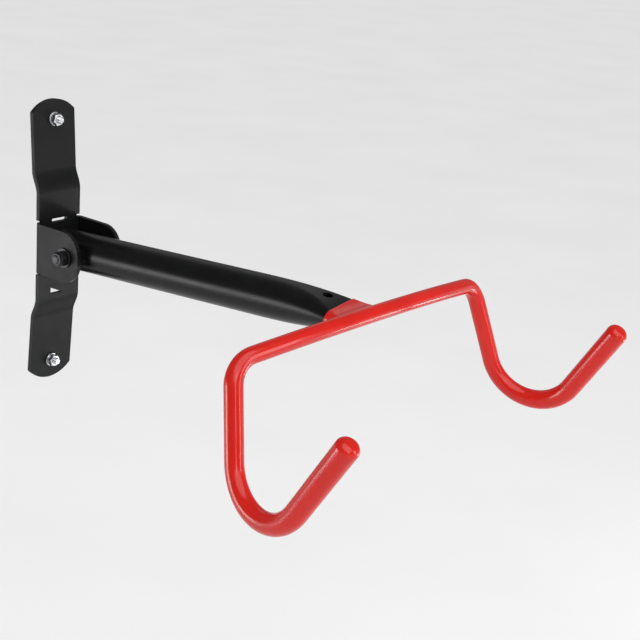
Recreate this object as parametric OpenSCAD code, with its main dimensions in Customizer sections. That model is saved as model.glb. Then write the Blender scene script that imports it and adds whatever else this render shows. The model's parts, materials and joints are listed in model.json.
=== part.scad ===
// Folding wall rack that carries one bicycle by its top tube.
// The wall is the plane y = 0, the arm reaches out along -y and z is up.
// The origin lies on the wall face, midway between the two anchor holes.

/* [Bracket] */
// width of the two wall straps
strap_w = 48; // [44:0.5:56]
// thickness of the pressed steel sheet
sheet_t = 4; // [3:0.1:4]
// distance from the wall to the back of the middle web
web_gap = 10.7; // [10:0.1:16]
// height of each wall anchor hole above or below the origin
anchor_z = 114.4; // [105:0.1:118]
// height at which the straight sides of a strap end
side_z = 121.7; // [119:0.1:124]
// height of the crown of a strap end
crown_z = 132; // [128:0.5:136]
// depth of the joggle that steps each strap back to the wall
joggle = 6.5; // [4:0.1:8]
// angle by which each strap leans back to the wall past its joggle
strap_lean = 3.93; // [3:0.01:4.2]
// diameter of the anchor holes
anchor_hole_d = 9; // [8.4:0.1:10]

/* [Ears] */
// distance between the outer faces of the two ears
ear_span = 52; // [50:0.5:54]
// height of an ear
ear_h = 46.4; // [44:0.2:48]
// distance from the wall to the front edge of the ears
ear_front = 68.6; // [66:0.1:78]
// corner radius of the ears
ear_r = 20; // [12:0.5:21]

/* [Pivot] */
// distance from the wall to the pivot bolt
pivot_y = 51; // [50:0.1:52]
// pivot bolt diameter
bolt_d = 8; // [7.6:0.1:8]
// diameter of the bolt holes in the ears
ear_hole_d = 8.6; // [8.6:0.1:9]
// outer diameter of the sleeve welded through the arm
sleeve_d = 14; // [12:0.5:16]
// outer diameter of the plain washers
washer_d = 18; // [16:0.5:20]

/* [Arm] */
// angle by which the arm rises when it bears on its stop
arm_rise = 3.64; // [3:0.02:4]
// outer diameter of the arm tube
tube_d = 35; // [34:0.1:35]
// wall thickness of the arm tube
tube_wall = 2; // [1.5:0.1:2.5]
// distance from the pivot to the middle of the fork bar
arm_len = 331.5; // [300:0.5:380]
// height of the tube axis above the pivot
tube_lift = 1.0; // [0:0.1:1.2]
// length of the pressed front end of the tube
pinch_len = 113.5; // [100:0.5:130]
// how far the press closes each side of the tube at its front end
pinch_drop = 12.5; // [8:0.1:12.8]
// height of the fork bar above the pivot
bar_rise = 9.9; // [9.4:0.1:10.5]

/* [Fork] */
// diameter of the bent steel rod
rod_d = 11; // [10:0.1:12]
// coated diameter of the fork bar
bar_coat_d = 13; // [12.6:0.1:14]
// coated diameter at the foot of each leg
leg_coat_d = 14.1; // [13.6:0.1:15]
// coated diameter where each hook starts to rise
hook_coat_d = 16.9; // [15:0.1:18]
// coated diameter at the tip of each hook
tip_coat_d = 17.8; // [16:0.1:19]
// half the length of the bowed part of the bar
bar_half = 132; // [120:1:150]
// radius of the shallow bow of the bar
bow_r = 662; // [600:5:900]
// angle of the bow plane below the horizontal
bow_tilt = 31.9; // [20:0.5:40]
// bend radius between the bar and a leg
shoulder_r = 22.5; // [18:0.5:26]
// angle by which each leg splays outward
leg_splay = 11.14; // [6:0.1:15]
// angle by which each leg slopes forward
leg_slope = 11.75; // [6:0.1:15]
// length of a leg between its two corners
leg_len = 158.6; // [150:0.5:180]
// bend radius of the hook
hook_r = 40; // [34:0.5:42]
// rise angle of the hook tip
tip_rise = 54.36; // [48:0.1:58]
// angle by which the hook tip turns inward
tip_toe = 2.15; // [0:0.05:6]
// length of the hook from its corner to its tip
tip_len = 163; // [140:0.5:175]

/* [Hidden] */
$fn = 64;
fit = 0.02;
lap = 0.1;
lap_angle = 0.4;
bow_lap = 0.02;
bend_thin = 0.03;
last_lap = 0.003;
web_front = -web_gap - sheet_t;
ear_in = ear_span / 2 - sheet_t;
ear_out = ear_span / 2;
joggle_start = 49.4;
joggle_end = 70.7;
joggle_steps = 12;
relief_w = 2.2;
relief_in = 20.8;
bend_in = 1;
bend_out = bend_in + sheet_t;
slot_half = 9;
slot_zs = [21.8, 25.2];
slot_r = 1;
window = [[-9.4, -46.2], [4.5, -46.2], [-9.4, -40]];
tube_r = tube_d / 2;
bar_at = [0, -arm_len, bar_rise];
press_at = [0, 0.37, 0.59, 0.74];
press_part = [0, 0.2, 0.576, 1];
coat_t = 0.8;
dip_back = 37;
dip_angle = 19;
dip_skew = 9;
mouth_back = 11.72;
mouth_angle = 65.6;
end_hole_d = 8.5;
end_hole_x = 2;
end_hole_back = 52.8;
weld_half = 17;
thrust_t = 0.9;
sleeve_half = ear_in - thrust_t - 0.1;
thrust_d = 24;
washer_t = 1.6;
nut_af = 13;
nut_t = 6.4;
collar_t = 1.6;
bolt_out = 36.5;
bolt_bevel = 1.5;
head_t = 5.3;
stud_d = 6;
thread_d = 5.6;
stud_out = 15.5;
stud_in = 13;
body_out = 0.9;
stud_bevel = 0.8;
small_washer_d = 12.4;
small_washer_t = 1.4;
small_nut_af = 10;
small_nut_t = 5;
hook_steps = 8;
shoulder_steps = 3;
tip_round = 6;
tip_skin = 2;

rod_c = [0.14, 0.14, 0.15];
black = [0.10, 0.10, 0.11];
red = [0.80, 0.08, 0.06];
zinc = [0.75, 0.76, 0.78];
dark = [0.16, 0.16, 0.17];
nylon = [0.90, 0.90, 0.86];

// ---- vectors and placing ----

function unit(v) = v / norm(v);

// places the x axis on a, the y axis on b and the origin on p
function frame_at(p, a, b) = let (c = cross(a, b))
    [[a.x, b.x, c.x, p.x], [a.y, b.y, c.y, p.y], [a.z, b.z, c.z, p.z], [0, 0, 0, 1]];

// directions and corners of the right half of the fork, measured from the bar middle
bow_dir = [0, cos(bow_tilt), -sin(bow_tilt)];
bow_end = asin(bar_half / bow_r);
dir_bar = [cos(bow_end), 0, 0] + sin(bow_end) * bow_dir;
dir_leg = [sin(leg_splay), -cos(leg_splay) * sin(leg_slope), -cos(leg_splay) * cos(leg_slope)];
dir_tip = [-sin(tip_toe) * cos(tip_rise), -cos(tip_toe) * cos(tip_rise), sin(tip_rise)];
turn_shoulder = acos(dir_bar * dir_leg);
turn_hook = acos(dir_leg * dir_tip);
reach_shoulder = shoulder_r * tan(turn_shoulder / 2);
reach_hook = hook_r * tan(turn_hook / 2);
bar_end = [bow_r * sin(bow_end), 0, 0] + bow_r * (1 - cos(bow_end)) * bow_dir;
corner_top = bar_end + dir_bar * reach_shoulder;
corner_low = corner_top + dir_leg * leg_len;
tip_end = corner_low + dir_tip * tip_len;
tip_side = unit(cross(dir_tip, [1, 0, 0]));

module in_arm() {
    translate([0, -pivot_y, 0])
        rotate([-arm_rise, 0, 0])
            children();
}

module in_fork() {
    in_arm()
        translate(bar_at)
            children();
}

module both_sides() {
    children();
    mirror([1, 0, 0])
        children();
}

// round bar between two points, its radius going from r1 to r2
module straight(a, b, r1, r2) {
    d = unit(b - a);
    side = unit(cross(d, [1, 0, 0]));
    c = cross(d, side);
    multmatrix([[side.x, c.x, d.x, a.x], [side.y, c.y, d.y, a.y], [side.z, c.z, d.z, a.z], [0, 0, 0, 1]])
        translate([0, 0, -lap])
            cylinder(h = norm(b - a) + 2 * lap, r1 = r1, r2 = r2);
}

// part of the bend at a corner, between two fractions of its whole turn;
// each piece laps into the next, wider one
module bend(corner, d1, d2, radius, r, from, to) {
    turn = acos(d1 * d2);
    n = unit(d2 - (d1 * d2) * d1);
    start = corner - d1 * radius * tan(turn / 2);
    multmatrix(frame_at(start + n * radius, -n, d1))
        rotate([0, 0, turn * from])
            rotate_extrude(angle = turn * (to - from) + (to < 1 ? lap_angle : 0))
                translate([radius, 0])
                    circle(r = r);
}

// the bowed bar from side to side
module bar_bow(r) {
    multmatrix(frame_at(bow_dir * bow_r, -bow_dir, [1, 0, 0]))
        rotate([0, 0, -bow_end - bow_lap])
            rotate_extrude(angle = 2 * (bow_end + bow_lap), $fn = 900)
                translate([bow_r, 0])
                    circle(r = r, $fn = 64);
}

// bent rod of one radius, stopping short of the tips
module rod_line(r, short) {
    bar_bow(r);
    both_sides() {
        bend(corner_top, dir_bar, dir_leg, shoulder_r, r - bend_thin, 0, 1);
        straight(corner_top + dir_leg * reach_shoulder, corner_low - dir_leg * reach_hook, r, r);
        bend(corner_low, dir_leg, dir_tip, hook_r, r - bend_thin, 0, 1);
        straight(corner_low + dir_tip * reach_hook, tip_end - dir_tip * short, r, r);
    }
}

// straight coated tip of length h with a rounded end, standing on z = 0
module tip_solid(r1, r2, h) {
    rotate_extrude() {
        polygon([[0, 0], [r1, 0], [r2, h - tip_round], [r2 - tip_round, h], [0, h]]);
        intersection() {
            translate([r2 - tip_round, h - tip_round])
                circle(r = tip_round);
            translate([0, h - tip_round])
                square([r2, tip_round]);
        }
    }
}

// ---- bracket ----

function s_curve(t) = (1 - cos(180 * t)) / 2;

// middle of the sheet behind height z, as a distance in front of the wall
function sheet_mid(z) = z <= joggle_start ? web_gap + sheet_t / 2
    : z <= joggle_end
    ? web_gap + sheet_t / 2 - joggle * s_curve((z - joggle_start) / (joggle_end - joggle_start))
    : web_gap + sheet_t / 2 - joggle - (z - joggle_end) * tan(strap_lean);

// heights at which the side profile of the sheet has a corner
sheet_zs = concat([0],
                  [for (i = [0 : joggle_steps])
                      joggle_start + (joggle_end - joggle_start) * i / joggle_steps],
                  [crown_z + 1]);

function sheet_normal(z) = let (s = (sheet_mid(z + 0.05) - sheet_mid(z - 0.05)) / 0.1) unit([1, -s]);

// upper half of the side profile, x being the distance in front of the wall
module sheet_profile() {
    polygon(concat(
        [for (z = sheet_zs) [sheet_mid(z), z] + sheet_normal(z) * sheet_t / 2],
        [for (i = [len(sheet_zs) - 1 : -1 : 0])
            [sheet_mid(sheet_zs[i]), sheet_zs[i]] - sheet_normal(sheet_zs[i]) * sheet_t / 2]));
}

// the joggled strap seen from the side, swept over the strap width
module strap_band() {
    for (s = [0, 1])
        mirror([0, 0, s])
            rotate([90, 0, -90])
                linear_extrude(height = strap_w, center = true)
                    sheet_profile();
}

// front outline of both straps and of the web between the ears
module strap_outline() {
    sagitta = crown_z - side_z;
    crown_r = (strap_w * strap_w / 4 + sagitta * sagitta) / (2 * sagitta);
    for (s = [0, 1])
        mirror([0, s])
            intersection() {
                translate([-strap_w / 2, ear_h / 2 + relief_w])
                    square([strap_w, crown_z]);
                translate([0, crown_z - crown_r])
                    union() {
                        circle(r = crown_r);
                        translate([-crown_r, -crown_z])
                            square([2 * crown_r, crown_z]);
                    }
            }
    square([2 * relief_in, ear_h + 2 * relief_w + 1], center = true);
}

// outline of one ear, x being the distance in front of the wall
module ear_outline() {
    back = -web_front + bend_in;
    difference() {
        union() {
            translate([back, -ear_h / 2])
                square([ear_front - ear_r - back, ear_h]);
            for (s = [-1, 1])
                translate([ear_front - ear_r, s * (ear_h / 2 - ear_r)])
                    circle(r = ear_r);
            translate([ear_front - ear_r, -(ear_h / 2 - ear_r)])
                square([ear_r, ear_h - 2 * ear_r]);
        }
        translate([pivot_y, 0])
            circle(d = ear_hole_d);
    }
}

module ear() {
    translate([ear_in, 0, 0])
        rotate([90, 0, -90])
            translate([0, 0, -sheet_t])
                linear_extrude(height = sheet_t)
                    ear_outline();
    // quarter bend that joins the ear to the web
    translate([ear_out - bend_out, -web_gap - bend_out, -ear_h / 2])
        rotate_extrude(angle = 90)
            translate([bend_in, 0])
                square([sheet_t, ear_h]);
    // flat web running into the bend
    translate([0, web_front, -ear_h / 2])
        cube([ear_out - bend_out, sheet_t, ear_h]);
}

// slot with rounded corners across the top of the web
module slot() {
    h = slot_zs[1] - slot_zs[0];
    translate([0, 0, (slot_zs[0] + slot_zs[1]) / 2])
        rotate([90, 0, 0]) {
            linear_extrude(height = 40, center = true)
                square([2 * (slot_half - slot_r), h], center = true);
            linear_extrude(height = 40, center = true)
                square([2 * slot_half, h - 2 * slot_r], center = true);
            for (sx = [-1, 1], sz = [-1, 1])
                translate([sx * (slot_half - slot_r), sz * (h / 2 - slot_r), 0])
                    cylinder(r = slot_r, h = 40, center = true);
        }
}

// three-cornered window below the ears
module low_window() {
    rotate([90, 0, 0])
        linear_extrude(height = 40, center = true)
            polygon(window);
}

module wall_bracket() {
    color(black)
        difference() {
            union() {
                intersection() {
                    strap_band();
                    rotate([90, 0, 0])
                        linear_extrude(height = 60, center = true)
                            strap_outline();
                }
                both_sides()
                    ear();
            }
            slot();
            low_window();
            for (s = [-1, 1])
                translate([0, 0, s * anchor_z])
                    rotate([90, 0, 0])
                        cylinder(d = anchor_hole_d, h = 40, center = true);
        }
}

// ---- arm ----

// the press turns the round section into a flat-sided oval of the same girth
function pinch_y(i) = -(arm_len - pinch_len) - pinch_len * press_at[i];
function pinch_h(i, r) = r - pinch_drop * press_part[i];
function pinch_side(i) = PI / 2 * pinch_drop * press_part[i];

module tube_slice(i, r) {
    for (s = [-1, 1])
        translate([s * pinch_side(i), pinch_y(i), 0])
            rotate([90, 0, 0])
                cylinder(r = pinch_h(i, r), h = 0.01);
}

// pressed front end of the tube, solid, from a radius r
module pinch(r) {
    last = len(press_at) - 1;
    for (i = [0 : last - 1])
        hull() {
            tube_slice(i, r);
            tube_slice(i + 1, r);
        }
    translate([0, pinch_y(last), 0])
        rotate([90, 0, 0])
            linear_extrude(height = arm_len + pinch_y(last) + 6) {
                for (s = [-1, 1])
                    translate([s * pinch_side(last), 0])
                        circle(r = pinch_h(last, r));
                square([2 * pinch_side(last), 2 * pinch_h(last, r)], center = true);
            }
}

// the whole tube as a solid of radius r, beginning at y = from
module tube_solid(r, from) {
    translate([0, 0, tube_lift]) {
        translate([0, from, 0])
            rotate([90, 0, 0])
                cylinder(r = r, h = arm_len - pinch_len + from);
        pinch(r);
    }
}

// everything in front of the slanted mouth of the tube, whose upper lip reaches furthest
module before_mouth() {
    translate([0, -arm_len + mouth_back, 0])
        rotate([mouth_angle, 0, 0])
            translate([-60, -100, -60])
                cube([120, 100, 120]);
}

module arm_tube() {
    stop_y = 37.1;
    top_y = 30.5;
    color(black)
        in_arm()
            difference() {
                tube_solid(tube_r, 40);
                tube_solid(tube_r - tube_wall, 41);
                // slanted rear cut: the lower edge is the stop, the upper edge clears the web
                translate([0, (stop_y + top_y) / 2, 0])
                    rotate([atan((stop_y - top_y) / tube_d), 0, 0])
                        translate([-30, 0, -30])
                            cube([60, 60, 60]);
                // hole for the sleeve
                rotate([0, 90, 0])
                    cylinder(d = sleeve_d + 2 * fit, h = 60, center = true);
                // hole in the crest near the front end
                translate([end_hole_x, -arm_len + end_hole_back, 3])
                    cylinder(d = end_hole_d, h = 30);
                before_mouth();
                // saddle for the fork rod
                translate(bar_at)
                    bar_bow(rod_d / 2 + fit);
            }
}

module pivot_sleeve() {
    color(rod_c)
        in_arm()
            rotate([0, 90, 0])
                difference() {
                    cylinder(d = sleeve_d, h = 2 * sleeve_half, center = true);
                    cylinder(d = bolt_d + 0.16, h = 60, center = true);
                }
}

module thrust_washers() {
    color(nylon)
        for (s = [-1, 1])
            translate([s * (sleeve_half + 0.05 + thrust_t / 2), -pivot_y, 0])
                rotate([0, 90, 0])
                    difference() {
                        cylinder(d = thrust_d, h = thrust_t, center = true);
                        cylinder(d = bolt_d + 0.1, h = 10, center = true);
                    }
}

module hex(af, h) {
    cylinder(d = af / cos(30), h = h, $fn = 6);
}

module pivot_bolt() {
    color(dark)
        translate([0, -pivot_y, 0])
            rotate([0, 90, 0]) {
                translate([0, 0, -bolt_out + bolt_bevel])
                    cylinder(d = bolt_d, h = bolt_out - bolt_bevel + ear_out + washer_t);
                translate([0, 0, -bolt_out])
                    cylinder(d1 = bolt_d - 1.6 * bolt_bevel, d2 = bolt_d, h = bolt_bevel);
                translate([0, 0, ear_out + washer_t])
                    intersection() {
                        hex(nut_af, head_t);
                        cylinder(d1 = nut_af + 8, d2 = nut_af - 0.5, h = head_t + 1);
                    }
            }
}

module pivot_washers() {
    color(dark)
        for (s = [-1, 1])
            translate([s * (ear_out + washer_t / 2), -pivot_y, 0])
                rotate([0, 90, 0])
                    difference() {
                        cylinder(d = washer_d, h = washer_t, center = true);
                        cylinder(d = bolt_d + 0.4, h = 10, center = true);
                    }
}

// lock nut: hexagon with a round crown that holds the nylon ring
module pivot_nut() {
    color(dark)
        translate([-ear_out - washer_t, -pivot_y, 0])
            rotate([0, -90, 0])
                difference() {
                    union() {
                        intersection() {
                            hex(nut_af, nut_t);
                            cylinder(d1 = nut_af + 1.2, d2 = nut_af + 8, h = 20);
                            cylinder(d1 = nut_af + 8, d2 = nut_af + 0.4, h = nut_t);
                        }
                        cylinder(d = nut_af - 1.2, h = nut_t + collar_t);
                    }
                    translate([0, 0, -1])
                        cylinder(d = bolt_d + 2 * fit, h = 20);
                    translate([0, 0, nut_t - 0.6])
                        cylinder(d = nut_af - 3, h = 1.7);
                }
}

module nut_collar() {
    color(nylon)
        translate([-ear_out - washer_t - nut_t + 0.58, -pivot_y, 0])
            rotate([0, -90, 0])
                difference() {
                    cylinder(d = nut_af - 3 - 2 * fit, h = 1.6);
                    translate([0, 0, -1])
                        cylinder(d = bolt_d + 2 * fit, h = 4);
                }
}

// ---- fork ----

module fork_rod() {
    color(rod_c)
        in_fork()
            rod_line(rod_d / 2, tip_skin);
}

// outline of the weld, x being the distance behind the bar and y the height above it
module weld_outline() {
    polygon([[6, -6], [2.85, -6], [1.4, -5.35], [-0.6, -5.35], [0.9, -6.5], [2.9, -7.3], [5, -6.8]]);
}

// weld under the rod, along the front lip of the tube
module fork_weld() {
    color(rod_c)
        in_fork()
            difference() {
                rotate([90, 0, 90])
                    linear_extrude(height = 2 * weld_half, center = true)
                        weld_outline();
                bar_bow(rod_d / 2 + fit);
            }
}

// the coating is thin on the bar and grows thicker along the hooks
module fork_coat() {
    r_bar = bar_coat_d / 2;
    r_leg = leg_coat_d / 2;
    r_hook = hook_coat_d / 2;
    r_tip = tip_coat_d / 2;
    color(red)
        in_fork()
            difference() {
                union() {
                    bar_bow(r_bar);
                    both_sides() {
                        for (i = [0 : shoulder_steps - 1])
                            bend(corner_top, dir_bar, dir_leg, shoulder_r,
                                 r_bar + (r_leg - r_bar) * (i + 1) / (shoulder_steps + 1),
                                 i / shoulder_steps,
                                 (i + 1) / shoulder_steps + (i == shoulder_steps - 1 ? last_lap : 0));
                        straight(corner_top + dir_leg * reach_shoulder,
                                 corner_low - dir_leg * reach_hook, r_leg - 0.05, r_leg - 0.02);
                        for (i = [0 : hook_steps - 1])
                            bend(corner_low, dir_leg, dir_tip, hook_r,
                                 r_leg + (r_hook - r_leg) * (i + 0.5) / hook_steps,
                                 i / hook_steps,
                                 (i + 1) / hook_steps + (i == hook_steps - 1 ? last_lap : 0));
                        multmatrix(frame_at(corner_low + dir_tip * reach_hook, tip_side,
                                            cross(dir_tip, tip_side)))
                            tip_solid(r_hook, r_tip, tip_len - reach_hook);
                    }
                }
                rod_line(rod_d / 2 + fit, tip_skin - fit);
                behind_bar();
            }
}

// space behind and under the bar that the tube lip and the weld take out of the coating
module behind_bar() {
    last = len(press_at) - 1;
    depth = 20;
    half = pinch_side(last) + pinch_h(last, tube_r) + coat_t + fit;
    crest = tube_lift + pinch_h(last, tube_r) + coat_t + fit - bar_rise;
    translate([-half, 0, crest - depth])
        cube([2 * half, depth, depth]);
    rotate([90, 0, 90])
        linear_extrude(height = 2 * weld_half + 2 * fit, center = true)
            offset(delta = fit)
                weld_outline();
}

// skin of coating over the front end of the tube, up to a slanted dip line
module tube_coat() {
    color(red)
        in_arm()
            difference() {
                intersection() {
                    translate([0, 0, tube_lift])
                        pinch(tube_r + coat_t);
                    translate([0, -arm_len + dip_back, bar_rise])
                        rotate([dip_angle, 0, dip_skew])
                            translate([-60, -160, -80])
                                cube([120, 160, 160]);
                }
                tube_solid(tube_r + fit, 0);
                translate(bar_at)
                    bar_bow(bar_coat_d / 2 + fit);
                before_mouth();
            }
}

// ---- wall anchors ----

module at_anchors() {
    for (s = [-1, 1])
        translate([0, 0, s * anchor_z])
            children();
}

function strap_front(z) = -(sheet_mid(z) + sheet_t / 2 / cos(strap_lean));

// short stud: its plain end goes into the wall and its threaded end carries the nut
module anchor_studs() {
    color(zinc)
        at_anchors()
            rotate([90, 0, 0]) {
                cylinder(d = thread_d, h = stud_out - stud_bevel);
                translate([0, 0, stud_out - stud_bevel])
                    cylinder(d1 = thread_d, d2 = thread_d - 2 * stud_bevel, h = stud_bevel);
                translate([0, 0, stud_bevel - stud_in])
                    cylinder(d = stud_d, h = stud_in - stud_bevel + body_out);
                translate([0, 0, -stud_in])
                    cylinder(d1 = stud_d - 2 * stud_bevel, d2 = stud_d, h = stud_bevel);
            }
}

module anchor_washers() {
    color(zinc)
        for (s = [0, 1])
            mirror([0, 0, s])
                translate([0, strap_front(anchor_z), anchor_z])
                    rotate([90 - strap_lean, 0, 0])
                        translate([0, 0, fit])
                            difference() {
                                cylinder(d = small_washer_d, h = small_washer_t);
                                cylinder(d = stud_d + 0.4, h = 10, center = true);
                            }
}

module anchor_nuts() {
    seat = -strap_front(anchor_z) + small_washer_t + fit + small_nut_af / 2 / cos(30) * sin(strap_lean);
    color(zinc)
        at_anchors()
            rotate([90, 0, 0])
                translate([0, 0, seat])
                    difference() {
                        intersection() {
                            rotate([0, 0, 30])
                                hex(small_nut_af, small_nut_t);
                            cylinder(d1 = small_nut_af + 0.6, d2 = small_nut_af + 8, h = 20);
                            cylinder(d1 = small_nut_af + 8, d2 = small_nut_af + 0.2, h = small_nut_t);
                        }
                        translate([0, 0, -1])
                            cylinder(d = thread_d + 2 * fit, h = 20);
                    }
}

wall_bracket();
arm_tube();
pivot_sleeve();
thrust_washers();
pivot_bolt();
pivot_washers();
pivot_nut();
nut_collar();
fork_rod();
fork_weld();
fork_coat();
tube_coat();
anchor_studs();
anchor_washers();
anchor_nuts();
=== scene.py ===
"""Looks of the folding wall rack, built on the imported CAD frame.

Lengths in the tables are in millimetres and are turned into metres where meshes are made.
+X runs along the wall, the arm reaches out along -Y and +Z is up.
"""

import json
import math

import bmesh
import bpy
from mathutils import Matrix, Vector
from mathutils.geometry import interpolate_bezier


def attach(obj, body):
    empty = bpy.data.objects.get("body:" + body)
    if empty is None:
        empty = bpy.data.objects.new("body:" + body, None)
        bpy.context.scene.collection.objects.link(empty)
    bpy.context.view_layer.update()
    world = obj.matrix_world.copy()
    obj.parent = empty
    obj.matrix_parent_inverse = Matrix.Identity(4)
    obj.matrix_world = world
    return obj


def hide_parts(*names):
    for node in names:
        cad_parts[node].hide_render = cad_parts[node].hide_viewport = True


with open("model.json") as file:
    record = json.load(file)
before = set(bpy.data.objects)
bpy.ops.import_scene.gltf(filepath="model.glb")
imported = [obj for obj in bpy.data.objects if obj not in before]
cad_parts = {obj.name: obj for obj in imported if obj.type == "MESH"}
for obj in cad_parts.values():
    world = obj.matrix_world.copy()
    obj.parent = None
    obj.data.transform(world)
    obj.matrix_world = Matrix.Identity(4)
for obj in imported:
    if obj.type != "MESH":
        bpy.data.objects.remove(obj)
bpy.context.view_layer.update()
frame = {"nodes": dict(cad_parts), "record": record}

MM = 0.001
PIVOT = Vector(frame["record"]["behaviour"]["joints"][0]["pos_m"]) / MM
ARM_RISE = math.radians(3.64)

# ---------------------------------------------------------------- small tools


def lerp(a, b, t):
    return a + (b - a) * t


def smooth(t):
    t = max(0.0, min(1.0, t))
    return t * t * (3 - 2 * t)


def arm_to_row(p):
    """A point of the arm's own frame, mm from the pivot, in the row frame in mm."""
    return Matrix.Rotation(-ARM_RISE, 3, "X") @ Vector(p) + PIVOT


def mesh_piece(name, verts, faces, body, material, nodes=(), sharp=35.0):
    """A mesh object in metres from points in mm, shaded smooth up to an edge angle."""
    mesh = bpy.data.meshes.new(name)
    mesh.from_pydata([tuple(Vector(v) * MM) for v in verts], [], faces)
    mesh.validate()
    return finish_mesh(name, mesh, body, material, nodes, sharp)


def finish_mesh(name, mesh, body, material, nodes=(), sharp=35.0, modifiers=()):
    bm = bmesh.new()
    bm.from_mesh(mesh)
    bmesh.ops.remove_doubles(bm, verts=bm.verts, dist=1e-7)
    bmesh.ops.recalc_face_normals(bm, faces=bm.faces)
    limit = math.radians(sharp)
    for edge in bm.edges:
        edge.smooth = not (edge.is_manifold and edge.calc_face_angle(0.0) > limit)
    for face in bm.faces:
        face.smooth = True
    bm.to_mesh(mesh)
    bm.free()
    obj = bpy.data.objects.new(name, mesh)
    bpy.context.scene.collection.objects.link(obj)
    mesh.materials.append(material)
    for kind, values in modifiers:
        mod = obj.modifiers.new(kind.title(), kind)
        for key, value in values.items():
            setattr(mod, key, value)
    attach(obj, body)
    if nodes:
        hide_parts(*nodes)
    return obj


def grid_faces(rows, cols, closed=True, start=0):
    """Quads over a grid of points laid out row by row."""
    faces = []
    for i in range(rows - 1):
        for j in range(cols if closed else cols - 1):
            k = (j + 1) % cols
            a = start + i * cols
            faces.append((a + j, a + k, a + cols + k, a + cols + j))
    return faces


def lathe(profile, place, sides=64, closed=False):
    """Turns (radius, height) pairs about an axis; place maps local mm to row mm."""
    verts = []
    for r, h in profile:
        for j in range(sides):
            a = 2 * math.pi * j / sides
            verts.append(place((r * math.cos(a), r * math.sin(a), h)))
    faces = grid_faces(len(profile), sides)
    if closed:
        last = (len(profile) - 1) * sides
        faces += [(last + j, last + (j + 1) % sides, (j + 1) % sides, j) for j in range(sides)]
    else:
        faces.append(tuple(range(sides)))
        last = (len(profile) - 1) * sides
        faces.append(tuple(range(last, last + sides)))
    return verts, faces


def rounded_ring(r_in, r_out, h0, h1, edge=0.25, steps=4):
    """Closed ring profile with rounded outer and inner edges."""
    profile = []
    corners = [(r_out - edge, h0 + edge, -90), (r_out - edge, h1 - edge, 0),
               (r_in + edge, h1 - edge, 90), (r_in + edge, h0 + edge, 180)]
    for cr, ch, begin in corners:
        for i in range(steps + 1):
            a = math.radians(begin + 90 * i / steps)
            profile.append((cr + edge * math.cos(a), ch + edge * math.sin(a)))
    return profile


def hexagon_nut(af, height, r_hole, place, chamfer_top=0.5, chamfer_low=0.5, per_side=14,
                r_crown=None, crown=0.0):
    """Hexagon with turned chamfers, standing on height 0, with a hole of r_hole or solid."""
    sides = 6 * per_side
    slope = math.tan(math.radians(30))

    def hex_r(j):
        a = (j % per_side) / per_side * 60 - 30
        return af / 2 / math.cos(math.radians(a))

    turned_top = af / 2 - chamfer_top
    turned_low = af / 2 - chamfer_low
    rings = []
    rim = 0.35
    if crown:
        rings.append([(r_crown - 0.9, height + crown)] * sides)
        rings.append([(r_crown - 0.35, height + crown - 0.1)] * sides)
        rings.append([(r_crown, height + crown - 0.5)] * sides)
        rings.append([(r_crown, height)] * sides)
    else:
        rings.append([(max(r_hole, 0.01) + rim, height)] * sides)
    rings.append([(turned_top, height)] * sides)
    rings.append([(hex_r(j), height - (hex_r(j) - turned_top) * slope) for j in range(sides)])
    rings.append([(hex_r(j), (hex_r(j) - turned_low) * slope) for j in range(sides)])
    rings.append([(turned_low, 0.0)] * sides)
    verts = []
    for ring in rings:
        for j, (r, h) in enumerate(ring):
            a = math.radians(60 / per_side * j)
            verts.append(place((r * math.cos(a), r * math.sin(a), h)))
    faces = grid_faces(len(rings), sides)
    bottom = (len(rings) - 1) * sides
    if r_hole:
        # bore wall from the low face back up to the first ring
        top_h = rings[0][0][1]
        for r, h in ((r_hole + rim, 0.0), (r_hole, rim), (r_hole, top_h - rim)):
            for j in range(sides):
                a = math.radians(60 / per_side * j)
                verts.append(place((r * math.cos(a), r * math.sin(a), h)))
        faces += grid_faces(4, sides, start=bottom)
        last = bottom + 3 * sides
        faces += [(last + j, last + (j + 1) % sides, (j + 1) % sides, j) for j in range(sides)]
    else:
        faces.append(tuple(range(sides)))
        faces.append(tuple(range(bottom, bottom + sides)))
    return verts, faces


def threaded_rod(r, pitch, h0, h1, place, chamfer=0.9, sides=48, steps=8):
    """Rod from h0 to h1 with a helical thread and a chamfered far end."""
    depth = 0.58 * pitch
    count = int((h1 - h0) / pitch * steps)
    verts = []
    for i in range(count + 1):
        h = lerp(h0, h1, i / count)
        crest = min(r, r - chamfer + (h1 - h))
        for j in range(sides):
            turn = j / sides
            phase = (h / pitch - turn) % 1.0
            groove = depth * min(1.0, 1.6 * abs(2 * phase - 1))
            fade = min(1.0, (h1 - h) / pitch + 0.25)
            rr = min(crest, r - (depth - groove) * fade)
            a = 2 * math.pi * turn
            verts.append(place((rr * math.cos(a), rr * math.sin(a), h)))
    faces = grid_faces(count + 1, sides)
    faces.append(tuple(range(sides)))
    faces.append(tuple(range(count * sides, (count + 1) * sides)))
    return verts, faces


def merge(*meshes):
    """Joins (verts, faces) pairs into one."""
    verts, faces = [], []
    for v, f in meshes:
        base = len(verts)
        verts += v
        faces += [tuple(base + i for i in face) for face in f]
    return verts, faces


def axis_place(origin, axis, side):
    """Maps local z to axis and local x to side, from origin, all in row mm."""
    z = Vector(axis).normalized()
    x = Vector(side).normalized()
    y = z.cross(x)
    o = Vector(origin)
    return lambda p: o + x * p[0] + y * p[1] + z * p[2]


# ---------------------------------------------------------------- materials


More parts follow.
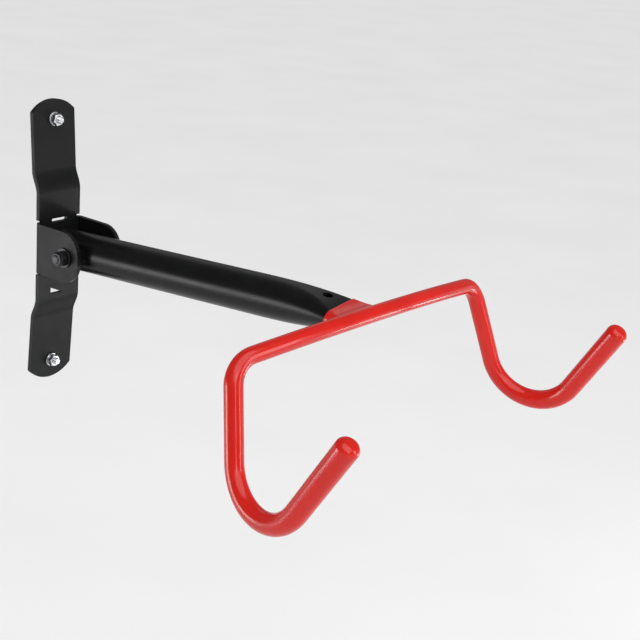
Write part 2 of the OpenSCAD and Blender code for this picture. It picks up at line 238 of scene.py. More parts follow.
class Shade:
    """A Principled material with helpers for procedural detail in object space."""

    def __init__(self, name):
        self.mat = bpy.data.materials.new(name)
        self.mat.use_nodes = True
        self.nodes = self.mat.node_tree.nodes
        self.links = self.mat.node_tree.links
        self.bsdf = next(n for n in self.nodes if n.type == "BSDF_PRINCIPLED")
        self.coord = self.nodes.new("ShaderNodeTexCoord").outputs["Object"]
        self.height = None

    def set(self, **values):
        for key, value in values.items():
            self.bsdf.inputs[key.replace("_", " ")].default_value = value
        return self

    def link(self, out, into):
        self.links.new(out, into)
        return self

    def noise(self, scale, detail=3.0, rough=0.5, stretch=(1, 1, 1)):
        mapping = self.nodes.new("ShaderNodeMapping")
        mapping.inputs["Scale"].default_value = stretch
        self.links.new(self.coord, mapping.inputs["Vector"])
        tex = self.nodes.new("ShaderNodeTexNoise")
        tex.inputs["Scale"].default_value = scale
        tex.inputs["Detail"].default_value = detail
        tex.inputs["Roughness"].default_value = rough
        self.links.new(mapping.outputs["Vector"], tex.inputs["Vector"])
        return tex.outputs["Fac"]

    def span(self, value, low, high, to_low, to_high):
        node = self.nodes.new("ShaderNodeMapRange")
        node.inputs["From Min"].default_value = low
        node.inputs["From Max"].default_value = high
        node.inputs["To Min"].default_value = to_low
        node.inputs["To Max"].default_value = to_high
        self.links.new(value, node.inputs["Value"])
        return node.outputs["Result"]

    def mix(self, value, a, b):
        node = self.nodes.new("ShaderNodeMix")
        node.data_type = "RGBA"
        for key, colour in (("A", a), ("B", b)):
            sock = next(s for s in node.inputs if s.name == key and s.type == "RGBA")
            if hasattr(colour, "is_output"):
                self.links.new(colour, sock)
            else:
                sock.default_value = (*colour, 1.0)
        factor = next(s for s in node.inputs if s.name == "Factor" and s.type == "VALUE")
        self.links.new(value, factor)
        return next(s for s in node.outputs if s.type == "RGBA")

    def bump(self, value, distance, strength=1.0):
        node = self.nodes.new("ShaderNodeBump")
        node.inputs["Distance"].default_value = distance
        node.inputs["Strength"].default_value = strength
        self.links.new(value, node.inputs["Height"])
        if self.height is not None:
            self.links.new(self.height, node.inputs["Normal"])
        self.height = node.outputs["Normal"]
        self.links.new(self.height, self.bsdf.inputs["Normal"])
        return self

    def colour(self, out):
        return self.link(out, self.bsdf.inputs["Base Color"])

    def roughness(self, out):
        return self.link(out, self.bsdf.inputs["Roughness"])


def paint(name, dark, light, rough_low, rough_high, peel, gloss):
    """Satin black powder coat: orange peel, faint clouding and a few dust specks."""
    s = Shade(name)
    s.set(Metallic=0.0, IOR=1.5, Specular_IOR_Level=gloss, Coat_Weight=0.05, Coat_Roughness=0.3)
    cloud = s.noise(26, 4, 0.55)
    base = s.mix(s.span(cloud, 0.35, 0.65, 0, 1), dark, light)
    specks = s.span(s.noise(1500, 2, 0.6), 0.72, 0.78, 0, 0.35)
    s.colour(s.mix(specks, base, tuple(3.2 * c for c in light)))
    s.roughness(s.span(s.noise(60, 5, 0.6), 0.3, 0.7, rough_low, rough_high))
    s.bump(s.noise(900, 2, 0.5), peel, 0.5)
    s.bump(s.noise(210, 2, 0.5), peel * 2.2, 0.4)
    return s.mat


def dipped_vinyl(name):
    """Glossy red dip: slow waviness, fine pores and a little depth under the gloss."""
    s = Shade(name)
    s.set(Metallic=0.0, IOR=1.5, Specular_IOR_Level=0.25, Coat_Weight=0.2, Coat_Roughness=0.05,
          Subsurface_Weight=0.04, Subsurface_Scale=0.002)
    s.bsdf.inputs["Subsurface Radius"].default_value = (1.0, 0.2, 0.1)
    cloud = s.noise(18, 3, 0.5)
    s.colour(s.mix(s.span(cloud, 0.3, 0.7, 0, 1), (0.52, 0.010, 0.006), (0.60, 0.014, 0.008)))
    s.roughness(s.span(s.noise(90, 4, 0.6), 0.3, 0.7, 0.17, 0.26))
    s.bump(s.noise(75, 2, 0.45), 0.0006, 0.16)
    s.bump(s.noise(700, 2, 0.5), 0.00012, 0.10)
    return s.mat


def plated(name, dark, light, rough_low, rough_high, scratch=0.3):
    """Plated or oiled steel with cloudy tone and fine scratches."""
    s = Shade(name)
    s.set(Metallic=1.0)
    cloud = s.noise(120, 4, 0.6)
    s.colour(s.mix(s.span(cloud, 0.3, 0.7, 0, 1), dark, light))
    s.roughness(s.span(s.noise(400, 3, 0.6), 0.3, 0.7, rough_low, rough_high))
    s.bump(s.noise(600, 3, 0.6, stretch=(1, 9, 1)), 0.00006, scratch)
    return s.mat


def moulded(name, dark, light):
    """Plain moulded nylon with a fine satin grain."""
    s = Shade(name)
    s.set(IOR=1.5, Subsurface_Weight=0.05, Subsurface_Scale=0.001)
    s.colour(s.mix(s.span(s.noise(150, 3, 0.5), 0.3, 0.7, 0, 1), dark, light))
    s.roughness(s.span(s.noise(300, 3, 0.6), 0.3, 0.7, 0.42, 0.55))
    s.bump(s.noise(1200, 2, 0.5), 0.00005, 0.3)
    return s.mat


BRACKET = paint("bracket_paint", (0.0040, 0.0042, 0.0048), (0.0062, 0.0065, 0.0072), 0.38, 0.48,
                0.00005, 0.14)
TUBE = paint("tube_paint", (0.0030, 0.0031, 0.0036), (0.0048, 0.0050, 0.0056), 0.26, 0.34,
             0.00003, 0.14)
RED = dipped_vinyl("red_coating")
ZINC = plated("zinc", (0.52, 0.53, 0.55), (0.72, 0.73, 0.74), 0.24, 0.38)
BLACKENED = plated("black_hardware", (0.035, 0.035, 0.038), (0.06, 0.06, 0.064), 0.34, 0.48)
BARE = plated("bare_steel", (0.30, 0.30, 0.31), (0.42, 0.42, 0.43), 0.35, 0.5)
NYLON = moulded("nylon", (0.74, 0.73, 0.69), (0.82, 0.81, 0.77))
COLLAR = moulded("collar_nylon", (0.05, 0.05, 0.055), (0.08, 0.08, 0.085))

# ---------------------------------------------------------------- bracket

SHEET = 4.0
WEB_MID = 12.7
EAR_HALF = 23.2
EAR_FRONT = 68.6
EAR_CORNER = 20.0
BEND_MID = 3.0
BEND_AT = 21.0
STRAP_HALF = 24.0
NECK_HALF = 20.8
STRAP_FROM = 25.4
SIDE_Z = 121.7
CROWN_Z = 132.0
ANCHOR_Z = 114.4
ANCHOR_HOLE_R = 4.5
ANCHOR_HOLE_SIDES = 48
NOTCH_DEPTH = 0.9
RIM_BEVEL = 0.45
JOGGLE_CUTS = 28
BEND_CUTS = 12
JOGGLE = (49.4, 70.7, 6.5)
LEAN = math.tan(math.radians(3.93))
BEND_ARC = BEND_MID * math.pi / 2
EAR_FLAT_Y = WEB_MID + BEND_MID


def sheet_mid(z):
    """Distance of the middle of the sheet from the wall at height z."""
    z = abs(z)
    low, high, depth = JOGGLE
    if z <= low:
        return WEB_MID
    if z <= high:
        return WEB_MID - depth * (1 - math.cos(math.pi * (z - low) / (high - low))) / 2
    return WEB_MID - depth - (z - high) * LEAN


def strap_point(u, v, off):
    """Point of the strap, off mm in front of the middle of the sheet."""
    slope = (sheet_mid(v + 0.05) - sheet_mid(v - 0.05)) / 0.1
    n = Vector((0, -1, -slope)).normalized()
    return Vector((u, -sheet_mid(v), v)) + n * off


def ear_point(u, v, off):
    """Point of the web, the quarter bend or an ear; off is positive on the inner side."""
    side = 1 if u > 0 else -1
    u = abs(u)
    if u <= BEND_AT:
        return Vector((side * u, -WEB_MID - off, v))
    if u <= BEND_AT + BEND_ARC:
        a = (u - BEND_AT) / BEND_MID
        r = BEND_MID - off
        return Vector((side * (BEND_AT + r * math.sin(a)), -EAR_FLAT_Y + r * math.cos(a), v))
    run = u - BEND_AT - BEND_ARC
    return Vector((side * (BEND_AT + BEND_MID - off), -EAR_FLAT_Y - run, v))


def bracket_point(u, v, off):
    t = smooth((abs(v) - EAR_HALF) / (STRAP_FROM - EAR_HALF))
    if t <= 0:
        return ear_point(u, v, off)
    if t >= 1 or abs(u) <= BEND_AT:
        return strap_point(u, v, off)
    return ear_point(u, v, off).lerp(strap_point(u, v, off), t)


def arc(cx, cy, r, a0, a1, steps):
    return [(cx + r * math.cos(math.radians(lerp(a0, a1, i / steps))),
             cy + r * math.sin(math.radians(lerp(a0, a1, i / steps)))) for i in range(steps + 1)]


def bracket_outline():
    """Quarter outline of the flat blank, mirrored into the whole outline."""
    far = BEND_AT + BEND_ARC + EAR_FRONT - EAR_FLAT_Y
    corner = arc(far - EAR_CORNER, EAR_HALF - EAR_CORNER, EAR_CORNER, 0, 90, 20)
    rise = CROWN_Z - SIDE_Z
    crown_r = (STRAP_HALF**2 + rise**2) / (2 * rise)
    half = math.degrees(math.asin(STRAP_HALF / crown_r))
    crown = arc(0, CROWN_Z - crown_r, crown_r, 90 - half, 90, 16)
    notch = [(NECK_HALF, EAR_HALF), (NECK_HALF - NOTCH_DEPTH, (EAR_HALF + STRAP_FROM) / 2),
             (NECK_HALF, STRAP_FROM)]
    quarter = corner + notch + [(STRAP_HALF, STRAP_FROM)] + crown
    right = quarter + [(-x, y) for x, y in reversed(quarter[:-1])]
    return right + [(x, -y) for x, y in reversed(right)]


def box_loop(x, z0, z1, r=1.0, steps=5):
    points = []
    for cx, cz, begin in ((x - r, z1 - r, 0), (-x + r, z1 - r, 90), (-x + r, z0 + r, 180),
                          (x - r, z0 + r, 270)):
        points += arc(cx, cz, r, begin, begin + 90, steps)
    return points


def build_bracket():
    bm = bmesh.new()
    loops = [bracket_outline(), box_loop(9.0, 21.8, 25.2),
             [(-9.4, -46.2), (4.5, -46.2), (-9.4, -40.0)]]
    steps = ANCHOR_HOLE_SIDES - 1
    last = 360 * steps / ANCHOR_HOLE_SIDES
    loops += [arc(0, s * ANCHOR_Z, ANCHOR_HOLE_R, 0, last, steps) for s in (1, -1)]
    edges = []
    for loop in loops:
        ring = [bm.verts.new((x, y, 0)) for x, y in loop]
        edges += [bm.edges.new((a, b)) for a, b in zip(ring, ring[1:] + ring[:1])]
    bmesh.ops.triangle_fill(bm, use_beauty=True, use_dissolve=False, edges=edges)
    bmesh.ops.dissolve_limit(bm, angle_limit=0.01, verts=bm.verts, edges=bm.edges,
                             delimit=set())
    cuts = []
    low, high, _ = JOGGLE
    for s in (1, -1):
        cuts += [((0, s * lerp(low, high, i / JOGGLE_CUTS), 0), (0, 1, 0))
                 for i in range(JOGGLE_CUTS + 1)]
        cuts += [((s * (BEND_AT + BEND_ARC * i / BEND_CUTS), 0, 0), (1, 0, 0))
                 for i in range(BEND_CUTS + 1)]
        cuts += [((0, s * EAR_HALF, 0), (0, 1, 0)), ((0, s * STRAP_FROM, 0), (0, 1, 0))]
    for co, no in cuts:
        bmesh.ops.bisect_plane(bm, geom=bm.verts[:] + bm.edges[:] + bm.faces[:], dist=1e-4,
                               plane_co=co, plane_no=no)
    bmesh.ops.triangulate(bm, faces=[f for f in bm.faces if len(f.verts) > 4])
    bm.verts.index_update()
    flat = [tuple(v.co) for v in bm.verts]
    count = len(flat)
    verts = [bracket_point(x, y, SHEET / 2) for x, y, _ in flat]
    verts += [bracket_point(x, y, -SHEET / 2) for x, y, _ in flat]
    faces = []
    for f in bm.faces:
        ids = [v.index for v in f.verts]
        faces.append(tuple(ids))
        faces.append(tuple(i + count for i in reversed(ids)))
    for e in bm.edges:
        if e.is_boundary:
            a, b = (v.index for v in e.verts)
            faces.append((a, b, b + count, a + count))
    bm.free()
    mesh = bpy.data.meshes.new("bracket")
    mesh.from_pydata([tuple(v * MM) for v in verts], [], faces)
    bm = bmesh.new()
    bm.from_mesh(mesh)
    bmesh.ops.recalc_face_normals(bm, faces=bm.faces)
    rim = [e for e in bm.edges if e.is_manifold and e.calc_face_angle(0.0) > math.radians(50)]
    bmesh.ops.bevel(bm, geom=rim, offset=RIM_BEVEL * MM, segments=3, profile=0.5, affect="EDGES",
                    clamp_overlap=True)
    bm.to_mesh(mesh)
    bm.free()
    return finish_mesh("bracket", mesh, "wall_side", BRACKET, ["wall_bracket"],
                       sharp=50, modifiers=[("WEIGHTED_NORMAL", {"keep_sharp": True,
                                                                 "weight": 80})])


build_bracket()

# ---------------------------------------------------------------- arm tube

TUBE_R = 17.5
TUBE_LIFT = 1.0
WALL = 2.0
ARM_LEN = 331.5
BAR_RISE = 9.9
PRESS_FROM = 198.0
PRESS_TO = 301.0
PRESS_DROP = 12.5
PRESS_POWER = 3.2
PRESS_SOFT = 2.5
REAR_LOW = 37.1
REAR_TOP = 30.5
END_HOLE = (2.0, 52.8, 8.5)
COAT = 0.8
MOUTH_BACK = 11.72
MOUTH_SLOPE = 2.2
MOUTH_LEAST = 2.0
GIRTH = 112


def press_at(y):
    """How far the press has closed each side of the tube at y, easing into its full drop."""
    t = max(0.0, (-y - PRESS_FROM) / (PRESS_TO - PRESS_FROM))
    raw = PRESS_DROP * t**PRESS_POWER
    h = max(0.0, min(1.0, 0.5 + 0.5 * (PRESS_DROP - raw) / PRESS_SOFT))
    return lerp(PRESS_DROP, raw, h) - PRESS_SOFT * h * (1 - h)


def section(y, inset, k):
    """Point k of the tube section at y, inset mm inside the outer face."""
    press = max(0.0, press_at(y))
    side = math.pi / 2 * press
    r = TUBE_R - press - inset
    run = 4 * side + 2 * math.pi * r
    s = (k / GIRTH * run + side) % run
    if s < 2 * side:
        x, z = side - s, r
    elif s < 2 * side + math.pi * r:
        a = math.pi / 2 + (s - 2 * side) / r
        x, z = -side + r * math.cos(a), r * math.sin(a)
    elif s < 4 * side + math.pi * r:
        x, z = -side + s - 2 * side - math.pi * r, -r
    else:
        a = -math.pi / 2 + (s - 4 * side - math.pi * r) / r
        x, z = side + r * math.cos(a), r * math.sin(a)
    return Vector((x, y, z + TUBE_LIFT))


def mouth_y(k):
    """Arm y of the slanted mouth at point k of the girth."""
    z = section(-ARM_LEN, 0, k).z
    return -ARM_LEN + max(MOUTH_BACK - MOUTH_SLOPE * z, MOUTH_LEAST)


def ring_at(y, inset):
    return [section(y, inset, k) for k in range(GIRTH)]


def rear_ring(inset, forward):
    """Loop on the slanted rear cut, moved forward mm towards the front end."""
    ring = ring_at(0, inset)
    for p in ring:
        p.y = lerp(REAR_LOW, REAR_TOP, (p.z + TUBE_R) / (2 * TUBE_R)) - forward
    return ring


def tube_mesh():
    """Outer and inner skin of the tube, joined by a rounded rear edge and at the front end."""
    first, step = 22.0, 8.0
    stations = [first - step * i for i in range(28)]
    press_rows = 60
    bury = 3.0
    front = [bury + mouth_y(k) for k in range(GIRTH)]
    edge = 0.35
    rounding = [math.radians(30 * i) for i in range(4)]

    def press_ring(i, inset):
        return [section(lerp(stations[-1], front[k], i / press_rows), inset, k)
                for k in range(GIRTH)]

    rings = [rear_ring(edge * (1 - math.sin(a)), edge * (1 - math.cos(a))) for a in rounding]
    rings += [ring_at(y, 0) for y in stations]
    rings += [press_ring(i, 0) for i in range(1, press_rows + 1)]
    rings += [press_ring(i, WALL) for i in range(press_rows, 0, -1)]
    rings += [ring_at(y, WALL) for y in reversed(stations)]
    rings += [rear_ring(WALL - edge * (1 - math.sin(a)), edge * (1 - math.cos(a)))
              for a in reversed(rounding)]
    return closed_skin(rings)


def closed_skin(rings):
    """Faces over loops of GIRTH points, the last loop joined to the first."""
    verts = [arm_to_row(p) for ring in rings for p in ring]
    faces = grid_faces(len(rings), GIRTH)
    last = (len(rings) - 1) * GIRTH
    faces += [(last + j, last + (j + 1) % GIRTH, (j + 1) % GIRTH, j) for j in range(GIRTH)]
    return verts, faces


def drill(obj, centre, radius, depth):
    """Cuts a round hole into obj from above, along the arm's own z."""
    x, y = centre
    top = TUBE_LIFT + TUBE_R - press_at(y)
    over = 9
    profile = [(0.001, top - depth), (radius, top - depth), (radius, top + over), (0.001, top + over)]
    verts, faces = lathe(profile, lambda p: arm_to_row((x + p[0], y + p[1], p[2])), sides=72)
    mesh = bpy.data.meshes.new("drill")
    mesh.from_pydata([tuple(v * MM) for v in verts], [], faces)
    tool = bpy.data.objects.new("drill", mesh)
    bpy.context.scene.collection.objects.link(tool)
    bm = bmesh.new()
    bm.from_mesh(mesh)
    bmesh.ops.remove_doubles(bm, verts=bm.verts, dist=2e-6)
    bmesh.ops.recalc_face_normals(bm, faces=bm.faces)
    bm.to_mesh(mesh)
    bm.free()
    mod = obj.modifiers.new("Hole", "BOOLEAN")
    mod.operation = "DIFFERENCE"
    mod.solver = "EXACT"
    mod.object = tool
    bpy.context.view_layer.update()
    cut = bpy.data.meshes.new_from_object(obj.evaluated_get(bpy.context.evaluated_depsgraph_get()))
    obj.modifiers.remove(mod)
    old = obj.data
    obj.data = cut
    bpy.data.meshes.remove(old)
    bpy.data.objects.remove(tool)


def build_tube():
    verts, faces = tube_mesh()
    obj = mesh_piece("tube", verts, faces, "arm", TUBE, ["arm_tube"], sharp=40)
    x, back, d = END_HOLE
    drill(obj, (x, -ARM_LEN + back), d / 2, 6.0)


build_tube()

# ---------------------------------------------------------------- fork

ROD = dict(bar=6.5, leg=7.05, hook=8.45, tip=8.9)
BAR_HALF = 132.0
BOW_R = 662.0
BOW_TILT = math.radians(31.9)
SHOULDER_R = 22.5
LEG = (math.radians(11.14), math.radians(11.75), 158.6)
HOOK_R = 40.0
TIP = (math.radians(54.36), math.radians(2.15), 163.0)
TIP_ROUND = 6.0
TIP_BULGE = 0.2
BAR_STEPS = 44
SHOULDER_STEPS = 24
LEG_STEPS = 30
HOOK_STEPS = 48
TIP_STEPS = 30
DOME_STEPS = 8
BAR_AT = Vector((0, -ARM_LEN, BAR_RISE))

bow_dir = Vector((0, math.cos(BOW_TILT), -math.sin(BOW_TILT)))
bow_end = math.asin(BAR_HALF / BOW_R)
splay, slope, leg_len = LEG
rise, toe, tip_len = TIP
dir_bar = Vector((math.cos(bow_end), 0, 0)) + math.sin(bow_end) * bow_dir
dir_leg = Vector((math.sin(splay), -math.cos(splay) * math.sin(slope),
                  -math.cos(splay) * math.cos(slope)))
dir_tip = Vector((-math.sin(toe) * math.cos(rise), -math.cos(toe) * math.cos(rise),
                  math.sin(rise)))
turn_shoulder = dir_bar.angle(dir_leg)
turn_hook = dir_leg.angle(dir_tip)
reach_shoulder = SHOULDER_R * math.tan(turn_shoulder / 2)
reach_hook = HOOK_R * math.tan(turn_hook / 2)
bar_end = Vector((BOW_R * math.sin(bow_end), 0, 0)) + BOW_R * (1 - math.cos(bow_end)) * bow_dir
corner_top = bar_end + dir_bar * reach_shoulder
corner_low = corner_top + dir_leg * leg_len
tip_end = corner_low + dir_tip * tip_len


def bend_point(corner, d1, d2, radius, turn, t):
    """Point and direction at fraction t of a bend."""
    n = (d2 - d1 * d1.dot(d2)).normalized()
    start = corner - d1 * radius * math.tan(turn / 2)
    a = turn * t
    return (start + d1 * radius * math.sin(a) + n * radius * (1 - math.cos(a)),
            d1 * math.cos(a) + n * math.sin(a))


def half_fork():
    """Stations (point, direction, radius) from the middle of the bar to the right tip."""
    rows = []
    for i in range(BAR_STEPS + 1):
        a = bow_end * i / BAR_STEPS
        rows.append((Vector((BOW_R * math.sin(a), 0, 0)) + BOW_R * (1 - math.cos(a)) * bow_dir,
                     Vector((math.cos(a), 0, 0)) + math.sin(a) * bow_dir, ROD["bar"]))
    for i in range(1, SHOULDER_STEPS + 1):
        t = i / SHOULDER_STEPS
        rows.append((*bend_point(corner_top, dir_bar, dir_leg, SHOULDER_R, turn_shoulder, t),
                     lerp(ROD["bar"], ROD["leg"], smooth(t))))
    a, b = corner_top + dir_leg * reach_shoulder, corner_low - dir_leg * reach_hook
    for i in range(1, LEG_STEPS + 1):
        rows.append((a.lerp(b, i / LEG_STEPS), dir_leg, ROD["leg"]))
    for i in range(1, HOOK_STEPS + 1):
        t = i / HOOK_STEPS
        rows.append((*bend_point(corner_low, dir_leg, dir_tip, HOOK_R, turn_hook, t),
                     lerp(ROD["leg"], ROD["hook"], smooth(t))))
    a, b = corner_low + dir_tip * reach_hook, tip_end
    run = (b - a).length
    for i in range(1, TIP_STEPS + 1):
        h = (run - TIP_ROUND) * i / TIP_STEPS
        rows.append((a + dir_tip * h, dir_tip, lerp(ROD["hook"], ROD["tip"], h / run)))
    for i in range(1, DOME_STEPS + 1):
        q = math.radians(90 * i / DOME_STEPS)
        rows.append((b - dir_tip * TIP_ROUND * (1 - math.sin(q)), dir_tip,
                     ROD["tip"] - TIP_ROUND * (1 - math.cos(q))))
    flat = ROD["tip"] - TIP_ROUND
    for r in (2.2, 1.2, 0.05):
        rows.append((b + dir_tip * TIP_BULGE * (1 - (r / flat) ** 2), dir_tip, r))
    return rows


def sweep(rows, sides):
    """Rings along stations with frames carried parallel from one to the next."""
    verts = []
    side = None
    for p, d, r in rows:
        if side is None:
            side = Vector((0, 0, 1)).cross(d).normalized()
        side = (side - d * side.dot(d)).normalized()
        other = d.cross(side)
        for j in range(sides):
            a = 2 * math.pi * j / sides
            verts.append(p + side * r * math.cos(a) + other * r * math.sin(a))
    faces = grid_faces(len(rows), sides)
    faces.append(tuple(range(sides)))
    last = (len(rows) - 1) * sides
    faces.append(tuple(range(last, last + sides)))
    return verts, faces


def build_fork():
    right = half_fork()
    left = [(Vector((-p.x, p.y, p.z)), Vector((d.x, -d.y, -d.z)), r) for p, d, r in right[1:]]
    verts, faces = sweep(list(reversed(left)) + right, 48)
    verts = [arm_to_row(v + BAR_AT) for v in verts]
    return mesh_piece("fork_dip", verts, faces, "arm", RED, ["fork_coat"],
                      sharp=60)


build_fork()

# ---------------------------------------------------------------- dip on the tube end

DIP_BACK = 37.0
DIP_SLOPE = 0.36
DIP_SKEW = 0.16
DIP_LIP = 1.3
BEAD = dict(half=18.6, e=3.0, z=3.9, deep=3.9, tall=1.9)


def dip_y(k):
    """Arm y at which the dip ends at point k of the girth."""
    y = -ARM_LEN + DIP_BACK
    for _ in range(8):
        p = section(y, 0, k)
        y = -ARM_LEN + DIP_BACK - DIP_SLOPE * (p.z - BAR_RISE) + DIP_SKEW * p.x
    return y


def dip_mesh():
    """Skin over the tube end: rolled rear lip, outer skin, rounded mouth, inner skin.

    The skin closes on itself through the wall of the tube, where it is out of sight.
    """
    lip, rows, turn, inner = 6, 44, 12, 10
    half = (WALL + 2 * COAT) / 2
    depth = 12.0
    sunk = 0.25
    back = [dip_y(k) for k in range(GIRTH)]
    front = [mouth_y(k) + half for k in range(GIRTH)]

    def loop(place, inset):
        return [section(place(k), inset, k) for k in range(GIRTH)]

    rings = []
    for i in range(lip):
        q = math.radians(90 * i / (lip - 1))
        out = lerp(-sunk, COAT, math.sin(q))
        step = DIP_LIP * (1 - math.cos(q))
        rings.append(loop(lambda k: back[k] - step, -out))
    for i in range(1, rows + 1):
        rings.append(loop(lambda k: lerp(back[k] - DIP_LIP, front[k], i / rows), -COAT))
    for i in range(1, turn + 1):
        q = math.pi * i / turn
        ring = loop(lambda k: front[k], -COAT + half * (1 - math.cos(q)))
        for p in ring:
            p.y -= half * math.sin(q)
        rings.append(ring)
    for i in range(1, inner + 1):
        t = i / inner
        inset = lerp(WALL + COAT, WALL - sunk, t**3)
        rings.append(loop(lambda k: front[k] + depth * t, inset))
    return closed_skin(rings)


def closed_strip(rows):
    """A solid from closed loops laid along a line, capped at both ends."""
    across = len(rows[0])
    faces = grid_faces(len(rows), across)
    faces.append(tuple(range(across)))
    last = (len(rows) - 1) * across
    faces.append(tuple(range(last, last + across)))
    return [arm_to_row(v) for row in rows for v in row], faces


def bar_centre(x):
    return BAR_AT + Vector((x, 0, 0)) + bow_dir * (BOW_R - math.sqrt(BOW_R**2 - x * x))


def fillet_mesh():
    """Meniscus of coating where the bar meets the skin on top of the tube end."""
    reach, across, steps = 2.8, 9, 121
    clear, fade = 0.6, 3.2
    pull, sink = 0.667, 0.5
    side = math.pi / 2 * PRESS_DROP
    r = TUBE_R - PRESS_DROP + COAT
    bar = ROD["bar"]
    rows = []
    for i in range(steps):
        x = lerp(-side - r, side + r, i / (steps - 1))
        over = max(0.0, abs(x) - side)
        z = TUBE_LIFT + math.sqrt(max(0.0, r * r - over * over))
        centre = bar_centre(x)
        dz = z - centre.z
        if abs(dz) >= bar - clear:
            continue
        p = Vector((x, centre.y + math.sqrt(bar**2 - dz * dz), z))
        skin = Vector((math.copysign(over, x) / r, 0, (z - TUBE_LIFT) / r))
        round_bar = Vector((0, p.y - centre.y, dz)).normalized()
        size = reach * smooth((bar - abs(dz)) / fade)
        a = p + (skin - round_bar * round_bar.dot(skin)).normalized() * size
        spoke = Vector((0, a.y - centre.y, a.z - centre.z)).normalized()
        a = Vector((x, centre.y, centre.z)) + spoke * bar
        b = p + (round_bar - skin * skin.dot(round_bar)).normalized() * size
        curve = interpolate_bezier(a, a.lerp(p, pull), b.lerp(p, pull), b, across)
        buried = p - (skin + round_bar) * sink
        rows.append([Vector(c) for c in curve] + [buried])
    return closed_strip(rows)


def bead_mesh():
    """Coated weld bead under the bar, along the upper lip of the mouth."""
    steps, across = 41, 24
    rows = []
    for i in range(steps):
        t = lerp(-0.999, 0.999, i / (steps - 1))
        x = BEAD["half"] * t
        grow = (1 - t**8) ** 0.5
        drift = bar_centre(x) - BAR_AT
        ring = []
        for j in range(across):
            a = 2 * math.pi * j / across
            ring.append(Vector((x, -ARM_LEN + drift.y + BEAD["e"] + BEAD["deep"] * grow * math.cos(a),
                                drift.z + BEAD["z"] + BEAD["tall"] * grow * math.sin(a))))
        rows.append(ring)
    return closed_strip(rows)


def build_dip():
    verts, faces = merge(dip_mesh(), fillet_mesh(), bead_mesh())
    mesh_piece("tube_dip", verts, faces, "arm", RED, ["tube_coat"], sharp=75)


build_dip()

# ---------------------------------------------------------------- pivot hardware

EAR_OUT = 26.0
BOLT_OUT = 36.5
BOLT_R = 4.0
BOLT_AF = 13.0
BOLT_PITCH = 1.25
NUT_H = 6.4
HEAD_H = 5.3
CROWN = (5.9, 1.6)
WASHER = 1.6
WASHER_RADII = (4.2, 9.0)
THREAD_FROM = 1.0
left_place = axis_place(PIVOT + Vector((-EAR_OUT, 0, 0)), (-1, 0, 0), (0, -1, 0))
right_place = axis_place(PIVOT + Vector((EAR_OUT, 0, 0)), (1, 0, 0), (0, -1, 0))

v, f = merge(lathe(rounded_ring(*WASHER_RADII, 0.0, WASHER), left_place, closed=True),
             lathe(rounded_ring(*WASHER_RADII, 0.0, WASHER), right_place, closed=True))
mesh_piece("pivot_plain_washers", v, f, "wall_side", BLACKENED,
           ["pivot_washers"])

shifted = axis_place(PIVOT + Vector((-EAR_OUT - WASHER, 0, 0)), (-1, 0, 0), (0, -1, 0.3))
v, f = hexagon_nut(BOLT_AF, NUT_H, BOLT_R + 0.02, shifted, chamfer_low=0.25, r_crown=CROWN[0],
                   crown=CROWN[1])
mesh_piece("pivot_lock_nut", v, f, "wall_side", BLACKENED, ["pivot_nut"],
           sharp=28)

head_place = axis_place(PIVOT + Vector((EAR_OUT + WASHER, 0, 0)), (1, 0, 0), (0, -0.6, 1))
head = hexagon_nut(BOLT_AF, HEAD_H, 0, head_place, chamfer_low=0.1)
shank = lathe([(BOLT_R, 0.0), (BOLT_R, 2 * EAR_OUT + WASHER - THREAD_FROM)],
              axis_place(PIVOT + Vector((EAR_OUT + WASHER, 0, 0)), (-1, 0, 0), (0, 1, 0)))
thread = threaded_rod(BOLT_R, BOLT_PITCH, 0.0, BOLT_OUT - EAR_OUT + THREAD_FROM,
                      axis_place(PIVOT + Vector((-EAR_OUT + THREAD_FROM, 0, 0)), (-1, 0, 0),
                                 (0, 1, 0)))
v, f = merge(head, shank, thread)
mesh_piece("pivot_hex_bolt", v, f, "wall_side", BLACKENED, ["pivot_bolt"],
           sharp=28)

v, f = lathe(rounded_ring(4.05, 4.95, 6.0, 7.9, 0.3), shifted, closed=True)
mesh_piece("nut_lock_ring", v, f, "wall_side", COLLAR, ["nut_collar"])

# ---------------------------------------------------------------- wall anchors

STUD_OUT = 15.5
STUD_IN = 13.0
STUD_R = 3.0
STUD_PITCH = 1.0
STUD_CHAMFER = 0.8
THREAD_BACK = 2.0
SMALL_AF = 10.0
SMALL_H = 5.0
SMALL_WASHER = (3.2, 6.2, 1.4)
SEAT_GAP = 0.02
lean = math.atan(LEAN)
rings, nuts, studs = [], [], []
for s in (1, -1):
    front = sheet_mid(ANCHOR_Z) + SHEET / 2 / math.cos(lean)
    out = Vector((0, -math.cos(lean), s * math.sin(lean)))
    at = Vector((0, -front, s * ANCHOR_Z))
    inner, outer, thick = SMALL_WASHER
    rings.append(lathe(rounded_ring(inner, outer, SEAT_GAP, thick, 0.2),
                       axis_place(at, out, (1, 0, 0)), closed=True))
    tilt = SMALL_AF / 2 / math.cos(math.radians(30)) * math.sin(lean)
    seat = at + Vector((0, -thick - SEAT_GAP - tilt, 0))
    twist = math.radians(12 * s)
    nuts.append(hexagon_nut(SMALL_AF, SMALL_H, STUD_R + 0.02,
                            axis_place(seat, (0, -1, 0), (math.cos(twist), 0, math.sin(twist)))))
    studs.append(threaded_rod(STUD_R, STUD_PITCH, 0.0, STUD_OUT - front + THREAD_BACK,
                              axis_place(at + Vector((0, THREAD_BACK, 0)), (0, -1, 0), (1, 0, 0)),
                              chamfer=0.7))
    studs.append(lathe([(STUD_R, 0.0), (STUD_R, STUD_IN + front - STUD_CHAMFER),
                        (STUD_R - STUD_CHAMFER, STUD_IN + front)],
                       axis_place(at, (0, 1, 0), (1, 0, 0))))
v, f = merge(*rings)
mesh_piece("anchor_plain_washers", v, f, "wall_side", ZINC, ["anchor_washers"])
v, f = merge(*nuts)
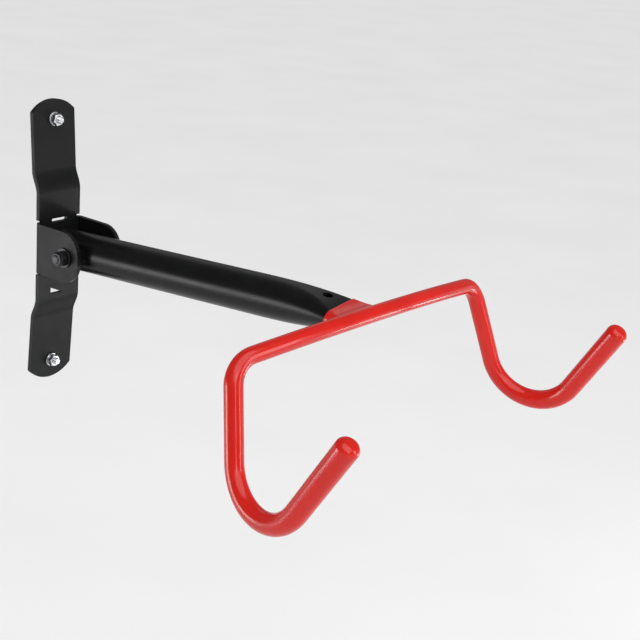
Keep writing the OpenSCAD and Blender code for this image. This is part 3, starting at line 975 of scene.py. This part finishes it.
mesh_piece("anchor_hex_nuts", v, f, "wall_side", ZINC, ["anchor_nuts"], sharp=28)
v, f = merge(*studs)
mesh_piece("anchor_bolts", v, f, "wall_side", ZINC, ["anchor_studs"], sharp=28)

# ---------------------------------------------------------------- carried-over CAD nodes

for node, material in (("pivot_sleeve", BARE), ("thrust_washers", NYLON),
                       ("fork_rod", BARE), ("fork_weld", BARE)):
    obj = frame["nodes"][node]
    obj.data.materials.clear()
    obj.data.materials.append(material)

# ---------------------------------------------------------------- stage, light, camera

floor_mat = Shade("floor")
floor_mat.set(Roughness=0.7)
floor_mat.colour(floor_mat.mix(floor_mat.span(floor_mat.noise(3, 3), 0.3, 0.7, 0, 1),
                               (0.90, 0.90, 0.90), (0.93, 0.93, 0.93)))
bm = bmesh.new()
bmesh.ops.create_grid(bm, x_segments=8, y_segments=8, size=40.0)
floor_mesh = bpy.data.meshes.new("floor")
bm.to_mesh(floor_mesh)
bm.free()
floor = bpy.data.objects.new("floor", floor_mesh)
floor.location = (0, 0, -0.62)
floor_mesh.materials.append(floor_mat.mat)
bpy.context.scene.collection.objects.link(floor)

world = bpy.data.worlds.new("studio")
world.use_nodes = True
background = next(n for n in world.node_tree.nodes if n.type == "BACKGROUND")
background.inputs["Color"].default_value = (1, 1, 1, 1)
background.inputs["Strength"].default_value = 0.22
bpy.context.scene.world = world


def softbox(name, at, aim, size, power):
    light = bpy.data.lights.new(name, "AREA")
    light.shape = "RECTANGLE"
    light.size, light.size_y = size
    light.energy = power
    obj = bpy.data.objects.new(name, light)
    obj.location = at
    obj.rotation_euler = (Vector(aim) - Vector(at)).to_track_quat("-Z", "Y").to_euler()
    obj.visible_camera = False
    bpy.context.scene.collection.objects.link(obj)


# front pair: a narrow strip and a wide box
softbox("strip_box", (-0.97, -2.15, 0.69), (0, -0.35, 0), (0.14, 1.5), 6.0)
softbox("key_box", (0.95, -2.45, 0.38), (0, -0.35, 0), (0.5, 1.3), 11)
# rim along the upper edges, then the ear face and the lower strap
softbox("rim_box", (1.3, 1.1, 1.0), (0, -0.2, 0), (1.3, 0.6), 0.9)
softbox("left_box", (-1.6, 1.15, -0.25), (0, -0.1, 0), (0.9, 0.6), 13)
softbox("low_box", (1.0, -0.95, -0.5), (0, -0.1, -0.08), (0.6, 0.15), 2.5)

# a broad even light for the floor and the faces that look up and out
sky = bpy.data.lights.new("sky_light", "SUN")
sky.energy = 2.4
sky.angle = math.radians(70)
sky_obj = bpy.data.objects.new("sky_light", sky)
sky_obj.rotation_euler = Vector((-0.2, -0.5, 0.84)).to_track_quat("Z", "Y").to_euler()
bpy.context.scene.collection.objects.link(sky_obj)

camera_data = bpy.data.cameras.new("camera")
camera_data.sensor_width = 36.0
camera_data.lens = 82.49
camera_data.clip_end = 50.0
camera = bpy.data.objects.new("camera", camera_data)
right = Vector((0.63493549, -0.76926178, 0.07136693))
up = Vector((0.19883128, 0.2519763, 0.94708715))
back = Vector((-0.74654072, -0.58714927, 0.312942))
camera.matrix_world = Matrix((
    (right.x, up.x, back.x, -0.863995),
    (right.y, up.y, back.y, -1.003504),
    (right.z, up.z, back.z, 0.371231),
    (0, 0, 0, 1)))
bpy.context.scene.collection.objects.link(camera)
bpy.context.scene.camera = camera
bpy.context.scene.view_settings.view_transform = "Standard"
